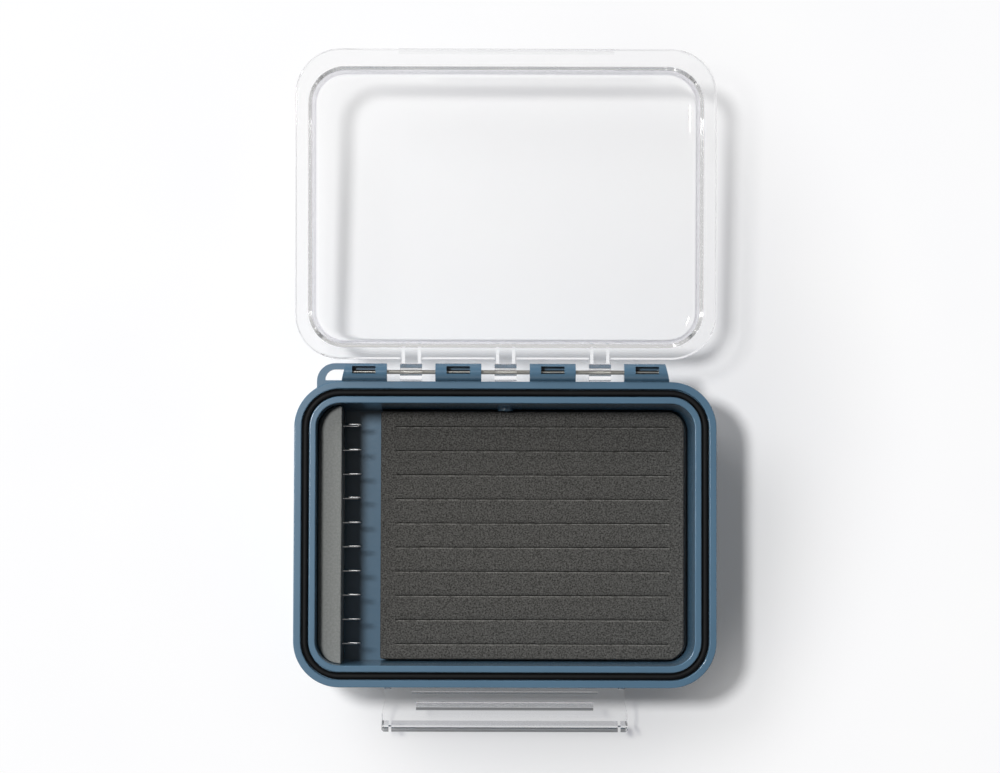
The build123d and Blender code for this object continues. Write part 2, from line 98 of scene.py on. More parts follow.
# The node kinds that are used most. A Mix node of colours takes them at inputs 6 and 7 and gives
# the result at output 2, and a Mix node of numbers takes them at 2 and 3.
MATH, RANGE, MIX = "ShaderNodeMath", "ShaderNodeMapRange", "ShaderNodeMix"
COORDINATES, SPLIT, MAPPING = "ShaderNodeTexCoord", "ShaderNodeSeparateXYZ", "ShaderNodeMapping"
NOISE, BUMP, SHADER = "ShaderNodeTexNoise", "ShaderNodeBump", "ShaderNodeBsdfPrincipled"
SURFACE = "ShaderNodeOutputMaterial"
print("linear mid grey:", [round(c, 4) for c in linear("808080")[:3]])

# %% [markdown]
# ## Moulded ABS for the tray
# The tray is injection-moulded ABS in a muted blue. The mould is spark-eroded, which leaves a fine
# satin grain, so highlights spread wide and soft, and only the small radii along the lips glint.
# A single roughness value would look like paint, so a fine noise moves both the roughness and the
# bump, and a wide one shifts the blue a little, as plastic does where it flowed in the mould.
# The real grain is near 0.1 mm. It is drawn at 0.3 mm, the finest that still shows at this size.

# %% Tray material
GRAIN_MM = 0.3  # the mould's spark-eroded grain
FLOW_MM = 22  # slow changes of tone where the plastic flowed


def moulded_abs():
    material, tree = new_material("moulded_abs_blue")
    place = add(tree, COORDINATES).outputs["Object"]
    grain = add(tree, NOISE, {"Vector": place, "Scale": per_mm(GRAIN_MM), "Detail": 3.0})
    flow = add(tree, NOISE, {"Vector": place, "Scale": per_mm(FLOW_MM), "Detail": 2.0})
    colour = add(
        tree, MIX, {0: flow, 6: linear("48677E"), 7: linear("507087")}, data_type="RGBA"
    ).outputs[2]
    rough = add(
        tree,
        RANGE,
        {"Value": grain, "From Min": 0.3, "From Max": 0.7, "To Min": 0.18, "To Max": 0.26},
    )
    bump = add(tree, BUMP, {"Height": grain, "Strength": 0.12, "Distance": 0.05 * MM})
    shader = add(
        tree, SHADER, {"Base Color": colour, "Roughness": rough, "Normal": bump, "IOR": 1.53}
    )
    add(tree, SURFACE, {"Surface": shader})
    return material


ABS = moulded_abs()
print("tray finish:", ABS.name)

# %% [markdown]
# ## Clear polycarbonate for the lid and the latch
# Polycarbonate bends light strongly (IOR 1.585), so walls and rounds show as thin grey-lilac
# lines. A painted shade makes them readable: a grey-lilac tint where a face is seen at a low
# angle, in place of the dark room that such faces bend into view. Moulding leaves long, shallow
# ripples.
# Glass in a path tracer blocks lamps and would throw a black shadow, where the real lid throws a
# pale one with grey lines. Caustics would be the true way, but a path tracer finds them slowly
# and leaves them noisy. So lamp rays pass straight through a Transparent shader, and its colour
# says how much light the plastic turns away: little through a flat face, more where a ray meets
# the face at a low angle, and most at two places of the lid, its rounds and the thick corner of
# flange and wall. That leaves the soft frame of the lid on the floor.

# %% Sizes of the open lid
LID_TILT = math.radians(4.0)  # the lid stops this far above level
HINGE_Y, HINGE_Z = 57.55 * MM, 36.1 * MM
RIM_FULL, RIM_END = 7 * MM, 12 * MM  # below the rim's plane, where the thick corner fades out
RIPPLE_MM = 14
# Each pair is where a ramp is 0 and where it is 1. A normal's height is 1 on a flat face and near
# 0 on a wall, and Facing is 0 where light comes straight on.
NOT_FLAT = (0.97, 0.9)
NOT_WALL = (0.2, 0.35)
ASLANT = (0.1, 0.4)
print("lid opens to", round(math.degrees(LID_TILT), 1), "degrees above level")


# %% Where the lid turns light away
def mask(tree, ramps):
    """The product of smooth ramps. Each row is a value, and where its ramp is 0 and is 1."""
    share = 1.0
    for value, at_0, at_1 in ramps:
        ramp = add(
            tree,
            RANGE,
            {"Value": value, "From Min": at_0, "From Max": at_1},
            interpolation_type="SMOOTHSTEP",
        )
        share = add(tree, MATH, {0: share, 1: ramp}, operation="MULTIPLY")
    return share


def thick_corner(tree, place):
    """1 on the lid's flange and at the top of its walls, and 0 further down towards the panel."""
    _x, y, z = add(tree, SPLIT, {0: place}).outputs
    out = add(tree, MATH, {0: y, 1: HINGE_Y}, operation="SUBTRACT")
    rim = add(tree, MATH, {0: out, 1: math.tan(LID_TILT), 2: HINGE_Z}, operation="MULTIPLY_ADD")
    down = add(tree, MATH, {0: rim, 1: z}, operation="SUBTRACT")
    return mask(tree, [(down, RIM_END, RIM_FULL)])


def crossed_rounds(tree, facing):
    """1 where light crosses the lid's rounds aslant, and 0 on its flats and its steep walls."""
    normal = add(tree, COORDINATES).outputs["Normal"]
    level = add(tree, MATH, {0: add(tree, SPLIT, {0: normal}).outputs[2]}, operation="ABSOLUTE")
    return mask(tree, [(level, *NOT_FLAT), (level, *NOT_WALL), (facing, *ASLANT)])


def lid_shade(tree, place, facing, steep, shade):
    """The colour of light through the lid, from the colour of light through a thin wall."""
    thick = add(
        tree, MIX, {0: steep, 6: linear("FEFEFE"), 7: linear("101014")}, data_type="RGBA"
    ).outputs[2]
    shade = add(
        tree, MIX, {0: thick_corner(tree, place), 6: shade, 7: thick}, data_type="RGBA"
    ).outputs[2]
    rounds = crossed_rounds(tree, facing)
    return add(tree, MIX, {0: rounds, 6: shade, 7: linear("6A6A74")}, data_type="RGBA").outputs[2]


# %% Clear material
# The next ramp sets where a painted shade, a grey-lilac tint at low angles, comes in.
PAINTED_SHADE_RISE = (0.35, 0.85)  # Facing where the lilac tint starts and where it is full
SHADE_RISE = (0.4, 0.75)  # and the same for the light that a thin wall turns away


def clear_polycarbonate(name, is_lid):
    material, tree = new_material(name)
    place = add(tree, COORDINATES).outputs["Object"]
    ripple = add(tree, NOISE, {"Vector": place, "Scale": per_mm(RIPPLE_MM), "Detail": 1.0})
    bump = add(tree, BUMP, {"Height": ripple, "Strength": 0.05, "Distance": 0.05 * MM})
    facing = add(tree, "ShaderNodeLayerWeight", {"Blend": 0.5}).outputs["Facing"]
    low_angle = mask(tree, [(facing, *PAINTED_SHADE_RISE)])
    # Painted shade: faces seen at a low angle are tinted grey-lilac, in place of the dark room that
    # they bend into view.
    painted_edge_shade = add(
        tree, MIX, {0: low_angle, 6: linear("FFFFFF"), 7: linear("B9B7C1")}, data_type="RGBA"
    ).outputs[2]
    glass = add(
        tree,
        SHADER,
        {
            "Base Color": painted_edge_shade,
            "Normal": bump,
            "Roughness": 0.03,
            "IOR": 1.585,
            "Transmission Weight": 1.0,
        },
    )
    steep = mask(tree, [(facing, *SHADE_RISE)])
    shade = add(
        tree, MIX, {0: steep, 6: linear("FEFEFE"), 7: linear("A8A8B2")}, data_type="RGBA"
    ).outputs[2]
    if is_lid:
        shade = lid_shade(tree, place, facing, steep, shade)
    clear = add(tree, "ShaderNodeBsdfTransparent", {"Color": shade})
    path = add(tree, "ShaderNodeLightPath").outputs
    through = add(
        tree, MATH, {0: path["Is Shadow Ray"], 1: path["Is Diffuse Ray"]}, operation="MAXIMUM"
    )
    either = add(tree, "ShaderNodeMixShader", {0: through, 1: glass, 2: clear})
    add(tree, SURFACE, {"Surface": either})
    return material


LID_CLEAR = clear_polycarbonate("clear_polycarbonate_lid", is_lid=True)
LATCH_CLEAR = clear_polycarbonate("clear_polycarbonate_latch", is_lid=False)
print("clear finishes:", LID_CLEAR.name, LATCH_CLEAR.name)

# %% [markdown]
# ## Silicone rubber for the gasket
# The gasket is a moulded silicone cord, brown-black and slightly dusty, with a soft sheen along
# its crown. Dust shows as a faint cloudy change of tone and of roughness, so one noise drives both.

# %% Gasket material
DUST_MM = 3  # clouds of dust
RUBBER_GRAIN_MM = 0.4  # the real grain is finer, and this is drawn as coarse as it has to show


def silicone_rubber():
    material, tree = new_material("silicone_rubber_black")
    place = add(tree, COORDINATES).outputs["Object"]
    dust = add(tree, NOISE, {"Vector": place, "Scale": per_mm(DUST_MM), "Detail": 4.0})
    grain = add(tree, NOISE, {"Vector": place, "Scale": per_mm(RUBBER_GRAIN_MM)})
    colour = add(
        tree, MIX, {0: dust, 6: linear("0B0C0E"), 7: linear("161718")}, data_type="RGBA"
    ).outputs[2]
    rough = add(tree, RANGE, {"Value": dust, "To Min": 0.45, "To Max": 0.65})
    bump = add(tree, BUMP, {"Height": grain, "Strength": 0.15, "Distance": 0.05 * MM})
    shader = add(
        tree,
        SHADER,
        {
            "Base Color": colour,
            "Roughness": rough,
            "Normal": bump,
            "IOR": 1.43,
            "Specular IOR Level": 0.15,
        },
    )
    add(tree, SURFACE, {"Surface": shader})
    return material


RUBBER = silicone_rubber()
print("gasket finish:", RUBBER.name)

# %% [markdown]
# ## Drawn stainless wire for the pins and the hooks
# Wire is pulled through a die, which leaves fine lines along it. All the wires here run nearly
# along X, so a noise stretched along X gives the lines without any texture map. The pins are dull
# from handling, and the hooks are bright.

# %% Wire materials
LINE_MM = 0.25  # the real lines are finer than a pixel, and these just show
LINE_STRETCH = (0.06, 1.0, 1.0)  # a line is some 17 times as long as it is wide


def drawn_wire(name, dark, light, roughness):
    material, tree = new_material(name)
    place = add(tree, COORDINATES).outputs["Object"]
    along = add(tree, MAPPING, {"Vector": place, "Scale": LINE_STRETCH})
    lines = add(tree, NOISE, {"Vector": along, "Scale": per_mm(LINE_MM), "Detail": 2.0})
    colour = add(
        tree, MIX, {0: lines, 6: linear(dark), 7: linear(light)}, data_type="RGBA"
    ).outputs[2]
    rough = add(
        tree, RANGE, {"Value": lines, "To Min": roughness - 0.06, "To Max": roughness + 0.08}
    )
    bump = add(tree, BUMP, {"Height": lines, "Strength": 0.1, "Distance": 0.02 * MM})
    shader = add(
        tree, SHADER, {"Base Color": colour, "Roughness": rough, "Normal": bump, "Metallic": 1.0}
    )
    add(tree, SURFACE, {"Surface": shader})
    return material


PIN_STEEL = drawn_wire("drawn_steel_pin", "83817C", "ABA9A3", roughness=0.3)
HOOK_STEEL = drawn_wire("bright_drawn_steel_hook", "B9B9B9", "E6E6E4", roughness=0.36)
print("wire finishes:", PIN_STEEL.name, HOOK_STEEL.name)

# %% [markdown]
# ## Closed-cell EVA foam
# The pad is split from a block of EVA foam, so its top is a cut face: thousands of half cells,
# each under a millimetre, some darker and some lighter, with no shine. The rail is cut from a
# softer sheet with its smooth skin kept on top, lighter and with hardly any relief. One function
# makes both. A knife leaves a raised lip along the front of each slit, and the pad's material
# gives that lip a paler tone in patches: a painted highlight where the lip catches the light.
# Painting those lips by hand would need a map, so the pad's material finds them from the slits'
# own sizes: which slit is nearest to a point, and how far in front of it the point lies.

# %% Pad and slit sizes
pad_low, pad_high = (Vector(c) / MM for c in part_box("foam_pad"))
SLIT_COUNT = 10
SLIT_END_MARGIN = 5.5  # first and last slit to the pad's rear and front
SLIT_LEFT_MARGIN = 5.5
SLIT_RIGHT_MARGIN = 5.3
SLIT_DEPTH = 6.0
slit_reach = pad_high.y - SLIT_END_MARGIN
slit_pitch = 2 * slit_reach / (SLIT_COUNT - 1)
slit_left = pad_low.x + SLIT_LEFT_MARGIN
slit_right = pad_high.x - SLIT_RIGHT_MARGIN
print("pad", [round(v, 2) for v in pad_high - pad_low], "slit pitch", round(slit_pitch, 3))

# %% Where the painted highlight on the lips lies
# Each pair is where a ramp is 0 and where it is 1.
LIP_RISE = (0.1, 0.3)  # in front of a slit's line
LIP_FALL = (0.75, 0.4)
LIP_LEFT = (slit_left - 0.2, slit_left + 0.3)  # at the slit's ends
LIP_RIGHT = (slit_right + 0.2, slit_right - 0.3)
HIGHLIGHT_PATCH_RISE = (0.3, 0.6)  # levels of the noise
HIGHLIGHT_PATCH_MM = 3
HIGHLIGHT_PATCH_STRETCH = (1.0, 0.15, 1.0)  # patches follow one another along a slit, each across its lip
print("lip", LIP_RISE[0], "to", LIP_FALL[0], "mm in front of its slit")


# %% Painted highlight on the lips beside the slits
def painted_lip_highlight(tree, place):
    """1 where the lip in front of each slit gets its painted highlight, in patches, and 0
    elsewhere.
    """
    x, y, _z = add(tree, SPLIT, {0: place}).outputs
    behind = add(tree, MATH, {0: slit_reach * MM, 1: y}, operation="SUBTRACT")
    steps = add(tree, MATH, {0: behind, 1: slit_pitch * MM}, operation="DIVIDE")
    number = add(tree, MATH, {0: steps}, operation="ROUND")
    past = add(tree, MATH, {0: steps, 1: number}, operation="SUBTRACT")
    in_front = add(tree, MATH, {0: past, 1: slit_pitch * MM}, operation="MULTIPLY")
    along = add(tree, MAPPING, {"Vector": place, "Scale": HIGHLIGHT_PATCH_STRETCH})
    highlight_patches = add(tree, NOISE, {"Vector": along, "Scale": per_mm(HIGHLIGHT_PATCH_MM), "Detail": 3.0})
    strip = ((in_front, LIP_RISE), (in_front, LIP_FALL), (x, LIP_LEFT), (x, LIP_RIGHT))
    ramps = [(value, at_0 * MM, at_1 * MM) for value, (at_0, at_1) in strip]
    return mask(tree, [*ramps, (highlight_patches, *HIGHLIGHT_PATCH_RISE)])


# %% Foam materials
def eva_foam(name, dark, light, cell_mm, pit_mm, roughness, with_painted_lip_highlight=False):
    material, tree = new_material(name)
    place = add(tree, COORDINATES).outputs["Object"]
    cells = add(
        tree,
        "ShaderNodeTexVoronoi",
        {"Vector": place, "Scale": per_mm(cell_mm), "Randomness": 1.0},
    )
    mottle = add(
        tree,
        NOISE,
        {"Vector": place, "Scale": per_mm(cell_mm), "Detail": 3.0, "Roughness": 0.7},
    )
    # A noise stays near 0.5, so its middle is spread over the whole range of tones.
    spread = add(tree, RANGE, {"Value": mottle, "From Min": 0.38, "From Max": 0.62})
    colour = add(
        tree, MIX, {0: spread, 6: linear(dark), 7: linear(light)}, data_type="RGBA"
    ).outputs[2]
    # Painted highlight: the lip in front of each slit is lighter in patches, as if it caught the
    # light.
    if with_painted_lip_highlight:
        lip_highlight_colour = add(
            tree, MIX, {0: spread, 6: linear("5C5B58"), 7: linear("84837F")}, data_type="RGBA"
        ).outputs[2]
        colour = add(
            tree, MIX, {0: painted_lip_highlight(tree, place), 6: colour, 7: lip_highlight_colour}, data_type="RGBA"
        ).outputs[2]
    height = add(tree, MATH, {0: cells, 1: mottle}, operation="ADD")
    bump = add(tree, BUMP, {"Height": height, "Strength": 0.7, "Distance": pit_mm * MM})
    shader = add(
        tree,
        SHADER,
        {"Base Color": colour, "Normal": bump, "Roughness": roughness, "IOR": 1.35},
    )
    add(tree, SURFACE, {"Surface": shader})
    return material


PAD_FOAM = eva_foam(
    "eva_foam_cut_face", "31302E", "62615E", cell_mm=0.55, pit_mm=0.12, roughness=0.95, with_painted_lip_highlight=True
)
RAIL_FOAM = eva_foam(
    "eva_foam_smooth_skin", "828482", "8E908E", cell_mm=0.8, pit_mm=0.015, roughness=0.8
)
print("foam finishes:", PAD_FOAM.name, RAIL_FOAM.name)

# %% [markdown]
# ## Adhesive sheet
# Both foam parts stand on double-sided acrylic tape. Only a hair of its edge ever shows, so a
# cloudy off-white with a slight tack shine is all that it needs.

# %% Tape material
CLOUD_MM = 5  # air trapped under the sheet


def acrylic_tape():
    material, tree = new_material("acrylic_tape")
    place = add(tree, COORDINATES).outputs["Object"]
    cloud = add(tree, NOISE, {"Vector": place, "Scale": per_mm(CLOUD_MM)})
    colour = add(
        tree, MIX, {0: cloud, 6: linear("B5B2A8"), 7: linear("C8C5BB")}, data_type="RGBA"
    ).outputs[2]
    shader = add(tree, SHADER, {"Base Color": colour, "Roughness": 0.35})
    add(tree, SURFACE, {"Surface": shader})
    return material


TAPE = acrylic_tape()
print("tape finish:", TAPE.name)

# %% [markdown]
# ## Dress the CAD nodes
# The hard parts could be modelled again with Blender's own tools, but the CAD solids already have
# the true fits and rounds. So these nodes keep their mesh and their place, and only their material
# slots change.

# %% Give each hard part its finish
HOOKS = [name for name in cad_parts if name.startswith("hook_wire")]
FINISHES = {
    "base_tray": ABS,
    "lid": LID_CLEAR,
    "latch": LATCH_CLEAR,
    "rim_gasket": RUBBER,
    "hinge_pin": PIN_STEEL,
    "latch_pin": PIN_STEEL,
    "foam_adhesive": TAPE,
    "rail_adhesive": TAPE,
    **{name: HOOK_STEEL for name in HOOKS},
}
for node_name, finish in FINISHES.items():
    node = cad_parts[node_name]
    for mesh_slot in node.material_slots:
        mesh_slot.material = finish
print("finished CAD nodes:", len(FINISHES))

# %% [markdown]
# ## The foam pad's blank
# The pad is a slab with ten knife slits across it. Its top is a grid of quads whose rows crowd
# together where a slit will be, because a modifier can bend only the points that it is given.
# The rows near the front and the rear are shorter, so that the grid's ends follow the rounded
# corners, and the outermost ring drops over a small round.


# %% Helper: a mesh object from points and faces, in millimetres
def mesh_object(name, points_mm, faces, material):
    mesh = bpy.data.meshes.new(name)
    mesh.from_pydata([[c * MM for c in p] for p in points_mm], [], faces)
    mesh.materials.append(material)
    mesh.polygons.foreach_set("use_smooth", [True] * len(mesh.polygons))
    mesh.validate()
    piece = bpy.data.objects.new(name, mesh)
    bpy.context.scene.collection.objects.link(piece)
    return piece


# %% Pad corners and grid
PAD_CORNER = 6.0  # the two corners on the right
PAD_LEFT_CORNER = 0.8
PAD_EDGE_ROUND = 0.6
ROW_STEPS = (0.0, 0.06, 0.13, 0.22, 0.36, 0.6, 1.1, 2.2, 3.3)  # from a slit's middle line
EDGE_STEPS = (0.0, 0.08, 0.2, 0.38, 0.6)  # from the pad's edge inwards
END_STEPS = (-0.25, 0.0, 0.25)  # about each end of the slits
END_ROOM = 0.2  # other columns keep this far off those
COLUMN_STEP = 0.7
SIDE_LEVELS = (0.55, 0.25, 0.0)  # rings of points down the side, as shares of the height


# %% Rows and columns of the pad's top
def pad_rows():
    """Where the rows of points lie, from the front to the rear."""
    edges = {round(s * (pad_high.y - step), 3) for step in EDGE_STEPS for s in (-1, 1)}
    rows = set()
    for i in range(SLIT_COUNT):
        centre = slit_reach - i * slit_pitch
        rows |= {centre + s * step for step in ROW_STEPS for s in (-1, 1)}
        rows.add(centre + slit_pitch / 2)
    return sorted({round(r, 3) for r in rows if abs(r) <= pad_high.y - EDGE_STEPS[-1]} | edges)


def pad_columns():
    """Shares of the pad's width, from 0 at its left edge to 1 at its right edge."""
    width = pad_high.x - pad_low.x
    count = round(width / COLUMN_STEP)
    inner = [EDGE_STEPS[-1] + (width - 2 * EDGE_STEPS[-1]) * i / count for i in range(count + 1)]
    ends = [end - pad_low.x + d for end in (slit_left, slit_right) for d in END_STEPS]
    inner = [x for x in inner if all(abs(x - e) > END_ROOM for e in ends)] + ends
    columns = {*EDGE_STEPS, *(width - e for e in EDGE_STEPS), *inner}
    return sorted(round(c, 3) / width for c in columns)


def corner_pull(y, radius):
    """How far a row's end is drawn in by a rounded corner."""
    past = abs(y) - (pad_high.y - radius)
    return radius - math.sqrt(max(radius**2 - max(past, 0.0) ** 2, 0.0))


rows, columns = pad_rows(), pad_columns()
print("pad top:", len(columns), "columns by", len(rows), "rows")


# %% Build the blank
def pad_blank():
    points = []
    for y in rows:
        left = pad_low.x + corner_pull(y, PAD_LEFT_CORNER)
        right = pad_high.x - corner_pull(y, PAD_CORNER)
        for share in columns:
            x = left + share * (right - left)
            inside = min(x - left, right - x, pad_high.y - abs(y), PAD_EDGE_ROUND)
            drop = PAD_EDGE_ROUND - math.sqrt(PAD_EDGE_ROUND**2 - (PAD_EDGE_ROUND - inside) ** 2)
            points.append((x, y, pad_high.z - drop))
    wide, deep = len(columns), len(rows)
    faces = [
        (j * wide + i, j * wide + i + 1, (j + 1) * wide + i + 1, (j + 1) * wide + i)
        for j in range(deep - 1)
        for i in range(wide - 1)
    ]
    rim = list(range(wide))
    rim += [j * wide + wide - 1 for j in range(1, deep)]
    rim += [(deep - 1) * wide + i for i in range(wide - 2, -1, -1)]
    rim += [j * wide for j in range(deep - 2, 0, -1)]
    ring, n = rim, len(rim)
    for level in SIDE_LEVELS:
        z = pad_low.z + level * (pad_high.z - pad_low.z)
        lower = list(range(len(points), len(points) + n))
        points += [(points[k][0], points[k][1], z) for k in rim]
        faces += [(ring[k], lower[k], lower[(k + 1) % n], ring[(k + 1) % n]) for k in range(n)]
        ring = lower
    faces.append(tuple(reversed(ring)))
    return points, faces


pad_points, pad_faces = pad_blank()
foam_pad = mesh_object("slit_foam_pad", pad_points, pad_faces, PAD_FOAM)
print("blank:", len(pad_points), "points")

# %% [markdown]
# ## Knife slits by Geometry Nodes
# All ten slits follow one rule, so a small node tree cuts them: find the nearest slit line, and
# lower each point by a curve of its distance to that line. Right at the line the drop is the full
# depth, and beside it a soft lip rolls over. A noise along each slit moves it sideways a little
# and changes the height of its lips, because a knife through foam never leaves a ruled line.

# %% Slit tree's inputs
GROUP_INPUTS = {
    "Count": ("NodeSocketInt", SLIT_COUNT),
    "First": ("NodeSocketFloat", slit_reach * MM),
    "Pitch": ("NodeSocketFloat", slit_pitch * MM),
    "Left": ("NodeSocketFloat", slit_left * MM),
    "Right": ("NodeSocketFloat", slit_right * MM),
    "Top": ("NodeSocketFloat", pad_high.z * MM),
    "Depth": ("NodeSocketFloat", SLIT_DEPTH * MM),
    "Lip": ("NodeSocketFloat", 0.3 * MM),
    "Wander": ("NodeSocketFloat", 0.16 * MM),
    "Seed": ("NodeSocketFloat", 4.0),
    "Material": ("NodeSocketMaterial", None),
}
# Each pair is a distance in millimetres at which a ramp is 0, and one at which it is 1.
IN_SLIT = (0.12, 0.07)  # from the slit's line
IN_LIP = (1.6, 0.1)
NEAR_SLIT = (2.2, 0.3)  # points that wander with the slit
PAST_END = (-0.1, 0.3)  # in from the slit's end
BELOW_TOP = (1.0, 0.7)  # down from the pad's top
LIP_POWER = 3.0  # how fast the lip rolls over
WANDER_MM = 9  # length of a slit's waves
NEXT_LINE = 7.3  # step of the noise from one slit to the next
print("slit tree's inputs:", ", ".join(GROUP_INPUTS))


def new_group(name, inputs):
    """A Geometry Nodes tree with its named inputs. Returns the tree and the inputs' sockets."""
    tree = bpy.data.node_groups.new(name, "GeometryNodeTree")
    tree.interface.new_socket("Geometry", in_out="INPUT", socket_type="NodeSocketGeometry")
    for label, (kind, _value) in inputs.items():
        tree.interface.new_socket(label, in_out="INPUT", socket_type=kind)
    tree.interface.new_socket("Geometry", in_out="OUTPUT", socket_type="NodeSocketGeometry")
    return tree, add(tree, "NodeGroupInput").outputs


# %% Find the nearest slit
def nearest_slit(tree, group, y):
    """The slit's number, and a point's distance to its line."""
    behind = add(tree, MATH, {0: group["First"], 1: y}, operation="SUBTRACT")
    steps = add(tree, MATH, {0: behind, 1: group["Pitch"]}, operation="DIVIDE")
    last = add(tree, MATH, {0: group["Count"], 1: 1.0}, operation="SUBTRACT")
    number = add(tree, MATH, {0: steps}, operation="ROUND")
    number = add(tree, MATH, {0: number, 1: 0.0}, operation="MAXIMUM")
    number = add(tree, MATH, {0: number, 1: last}, operation="MINIMUM")
    back = add(tree, MATH, {0: number, 1: group["Pitch"]}, operation="MULTIPLY")
    middle = add(tree, MATH, {0: group["First"], 1: back}, operation="SUBTRACT")
    aside = add(tree, MATH, {0: y, 1: middle}, operation="SUBTRACT")
    return number, add(tree, MATH, {0: aside}, operation="ABSOLUTE")


# %% Slit tree
def slit_tree():
    tree, group = new_group("knife_slits", GROUP_INPUTS)
    x, y, z = add(tree, SPLIT, {0: add(tree, "GeometryNodeInputPosition")}).outputs
    number, distance = nearest_slit(tree, group, y)
    from_left = add(tree, MATH, {0: x, 1: group["Left"]}, operation="SUBTRACT")
    from_right = add(tree, MATH, {0: group["Right"], 1: x}, operation="SUBTRACT")
    from_end = add(tree, MATH, {0: from_left, 1: from_right}, operation="MINIMUM")
    down = add(tree, MATH, {0: group["Top"], 1: z}, operation="SUBTRACT")
    inside, on_top, near, slot, beside = (
        mask(tree, [(value, at_0 * MM, at_1 * MM)])
        for value, (at_0, at_1) in (
            (from_end, PAST_END),
            (down, BELOW_TOP),
            (distance, IN_LIP),
            (distance, IN_SLIT),
            (distance, NEAR_SLIT),
        )
    )
    # Each slit reads its own line of one flat noise.
    along = add(tree, MATH, {0: x, 1: per_mm(WANDER_MM)}, operation="MULTIPLY")
    line = add(tree, MATH, {0: number, 1: NEXT_LINE, 2: group["Seed"]}, operation="MULTIPLY_ADD")
    spot = add(tree, "ShaderNodeCombineXYZ", {0: along, 1: line})
    noise = add(
        tree, NOISE, {"Vector": spot, "Scale": 1.0, "Detail": 2.0}, noise_dimensions="2D"
    )
    taller = add(tree, MATH, {0: noise, 1: 0.5}, operation="ADD")
    lip_height = add(tree, MATH, {0: group["Lip"], 1: taller}, operation="MULTIPLY")
    rolled = add(tree, MATH, {0: near, 1: LIP_POWER}, operation="POWER")
    lip = add(tree, MATH, {0: rolled, 1: lip_height}, operation="MULTIPLY")
    cut = add(tree, MATH, {0: slot, 1: group["Depth"], 2: lip}, operation="MULTIPLY_ADD")
    where = add(tree, MATH, {0: inside, 1: on_top}, operation="MULTIPLY")
    drop = add(tree, MATH, {0: cut, 1: where}, operation="MULTIPLY")
    down_by = add(tree, MATH, {0: drop, 1: -1.0}, operation="MULTIPLY")
    swing = add(tree, MATH, {0: noise, 1: 0.5}, operation="SUBTRACT")
    swing = add(tree, MATH, {0: swing, 1: group["Wander"]}, operation="MULTIPLY")
    aside = add(tree, MATH, {0: swing, 1: beside}, operation="MULTIPLY")
    offset = add(tree, "ShaderNodeCombineXYZ", {1: aside, 2: down_by})
    moved = add(
        tree, "GeometryNodeSetPosition", {"Geometry": group["Geometry"], "Offset": offset}
    )
    plain = add(tree, "GeometryNodeRealizeInstances", {0: moved})
    coated = add(
        tree, "GeometryNodeSetMaterial", {"Geometry": plain, "Material": group["Material"]}
    )
    add(tree, "NodeGroupOutput", {0: coated})
    return tree


# %% Run a tree on a piece
def run_group(piece, tree, inputs, values):
    """Runs a tree on a piece with the given inputs and keeps the result as a plain mesh."""
    modifier = piece.modifiers.new(tree.name, "NODES")
    modifier.node_group = tree
    sockets = {
        item.name: item.identifier
        for item in tree.interface.items_tree
        if item.item_type == "SOCKET" and item.in_out == "INPUT"
    }
    for label in inputs:
        modifier[sockets[label]] = values.get(label, inputs[label][1])
    seen = piece.evaluated_get(bpy.context.evaluated_depsgraph_get())
    mesh = bpy.data.meshes.new_from_object(seen)
    piece.modifiers.clear()
    piece.data = mesh


# %% Cut the slits
run_group(foam_pad, slit_tree(), GROUP_INPUTS, {"Material": PAD_FOAM})
print("slit pad:", len(foam_pad.data.polygons), "faces")
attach(foam_pad, "base")
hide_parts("foam_pad")

# %% [markdown]
# ## The wire rail
# The rail is a bar of foam that leans with the tray's wall and rounds into its two corners. A
# bevelled box would round all its edges alike, and this bar has wide corners in plan and a small
# round along its top. So it is lofted from outlines at several heights: straight up its leaning
# sides, then over the small round onto the flat top.

# %% Rail sizes
rail_low, rail_high = (Vector(c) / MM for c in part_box("wire_rail"))
WALL_LEAN = math.tan(math.radians(2.4))  # the tray wall's draft
RAIL_CORNER = 8.2  # in plan, at the rail's top, along the tray's corner
RAIL_ROUND = 0.6
ARC_STEPS = 14
SIDE_RINGS = 6
ROUND_STEPS = 5
TOP_RING = 0.8  # a last ring on the flat top, this far in from the round
rail_height = rail_high.z - rail_low.z
print("rail", [round(v, 2) for v in rail_high - rail_low])


# %% Outline and loft
def rail_outline(inset, z):
    """The rail's plan at height z, drawn in by inset all round, counter-clockwise."""
    lean = (rail_high.z - z) * WALL_LEAN
    right = rail_high.x - inset
    left = rail_low.x + lean + inset
    half = rail_high.y - lean - inset
    radius = RAIL_CORNER - lean - inset
    points = [(right, -half, z), (right, half, z)]
    for start, sign in ((90, 1), (180, -1)):
        for i in range(ARC_STEPS + 1):
            a = math.radians(start + 90 * i / ARC_STEPS)
            x = left + radius + radius * math.cos(a)
            y = sign * (half - radius) + radius * math.sin(a)
            points.append((min(x, right), y, z))
    return points


def loft(rings):
    """Points and faces of a closed loft through rings of equal length."""
    n = len(rings[0])
    points = [p for ring in rings for p in ring]
    faces = []
    for r in range(len(rings) - 1):
        a, b = r * n, (r + 1) * n
        faces += [(a + k, a + (k + 1) % n, b + (k + 1) % n, b + k) for k in range(n)]
    faces.append(tuple(reversed(range(n))))
    faces.append(tuple(range(len(points) - n, len(points))))
    return points, faces


